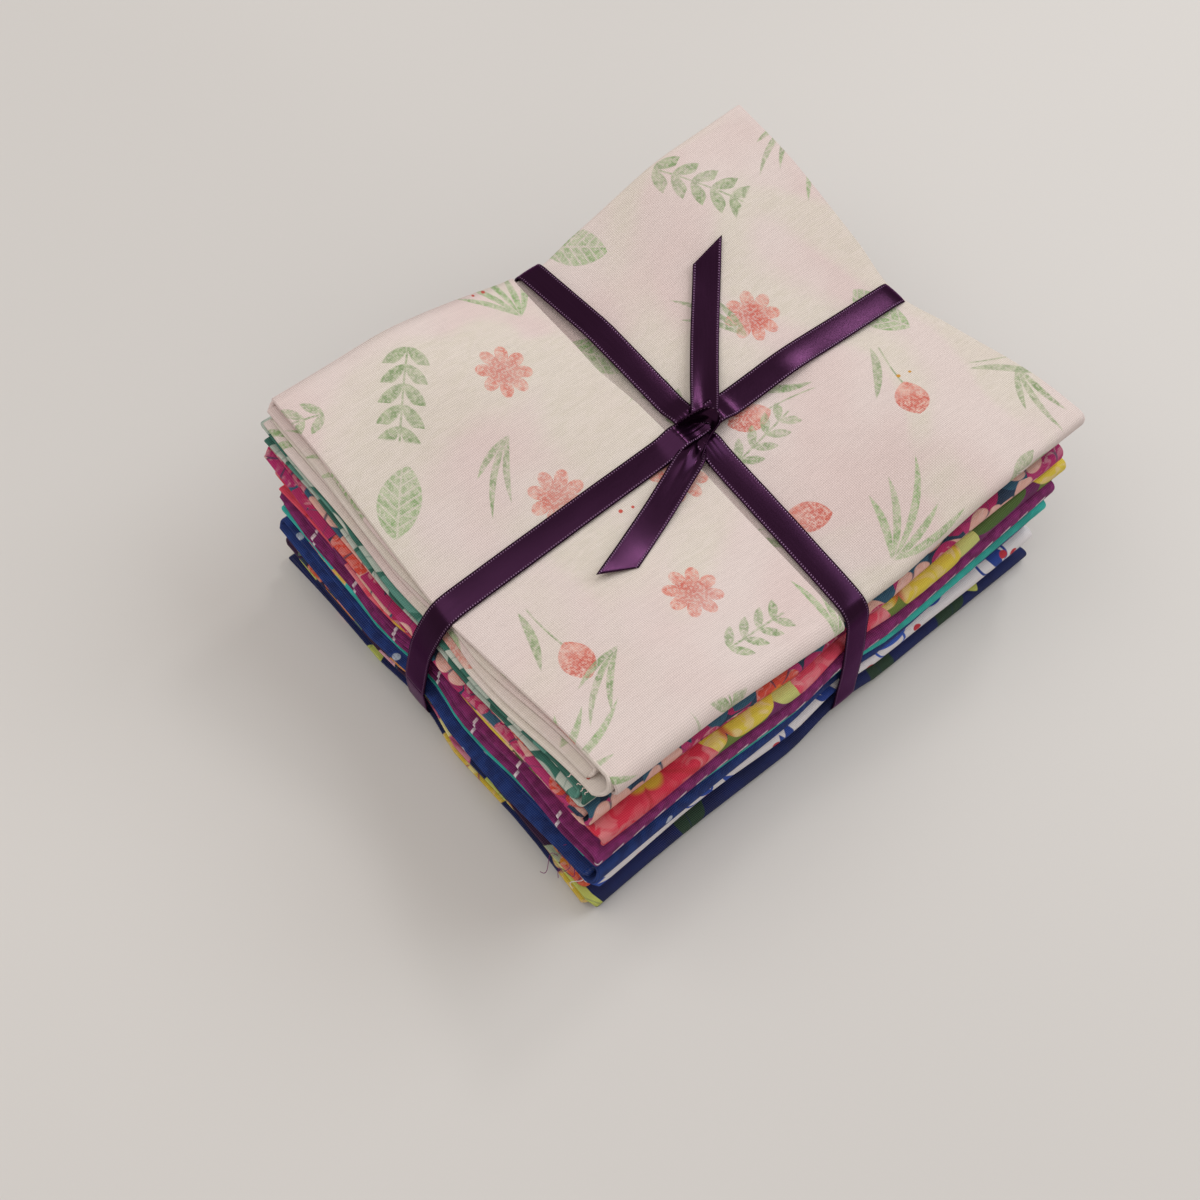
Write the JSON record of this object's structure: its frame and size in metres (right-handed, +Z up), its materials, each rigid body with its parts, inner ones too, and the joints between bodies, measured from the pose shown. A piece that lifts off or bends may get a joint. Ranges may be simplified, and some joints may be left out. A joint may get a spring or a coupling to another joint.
{
  "type": "fat quarter bundle",
  "caption": "Bundle of folded printed cotton fat quarters, stacked a little askew and tied crosswise with a narrow satin ribbon knotted on top.",
  "frame": {"origin": "middle of the bundle's footprint, on the surface that it rests on", "axes": "+X along the long front folds of the packets, +Y from the front folds towards the back, +Z up through the stack"},
  "size_m": [0.1462, 0.1196, 0.0514],
  "materials": {
    "pale_pink_cotton": "plain-woven quilting cotton, pale pink with green leaves and coral flowers",
    "teal_cotton": "plain-woven quilting cotton, teal with pale leaves",
    "magenta_cotton": "plain-woven quilting cotton, magenta with coral, pale pink and navy flowers",
    "coral_floral_cotton": "plain-woven quilting cotton, plum with large coral, yellow and olive flowers",
    "plum_dash_cotton": "plain-woven quilting cotton, plum with white dashes",
    "turquoise_cotton": "plain-woven quilting cotton, turquoise with scattered motifs",
    "navy_dot_cotton": "plain-woven quilting cotton, navy with pale dots",
    "white_cobalt_cotton": "plain-woven quilting cotton, white with cobalt marks and red dots",
    "dark_floral_cotton": "plain-woven quilting cotton, dark plum with pink and grey-green flowers",
    "navy_floral_cotton": "plain-woven quilting cotton, navy with yellow, lime and orange flowers",
    "plum_satin_ribbon": "narrow plum satin ribbon with woven edges"
  },
  "bodies": {
    "root": {"cloth_01_pale_pink": "pale_pink_cotton", "cloth_02_teal": "teal_cotton", "cloth_03_magenta": "magenta_cotton", "cloth_04_coral_floral": "coral_floral_cotton", "cloth_05_plum_dash": "plum_dash_cotton", "cloth_06_turquoise": "turquoise_cotton", "cloth_07_navy_dot": "navy_dot_cotton", "cloth_08_white_cobalt": "white_cobalt_cotton", "cloth_09_dark_floral": "dark_floral_cotton", "cloth_10_navy_floral": "navy_floral_cotton", "ribbon_tie": "plum_satin_ribbon"}
  },
  "joints": []
}
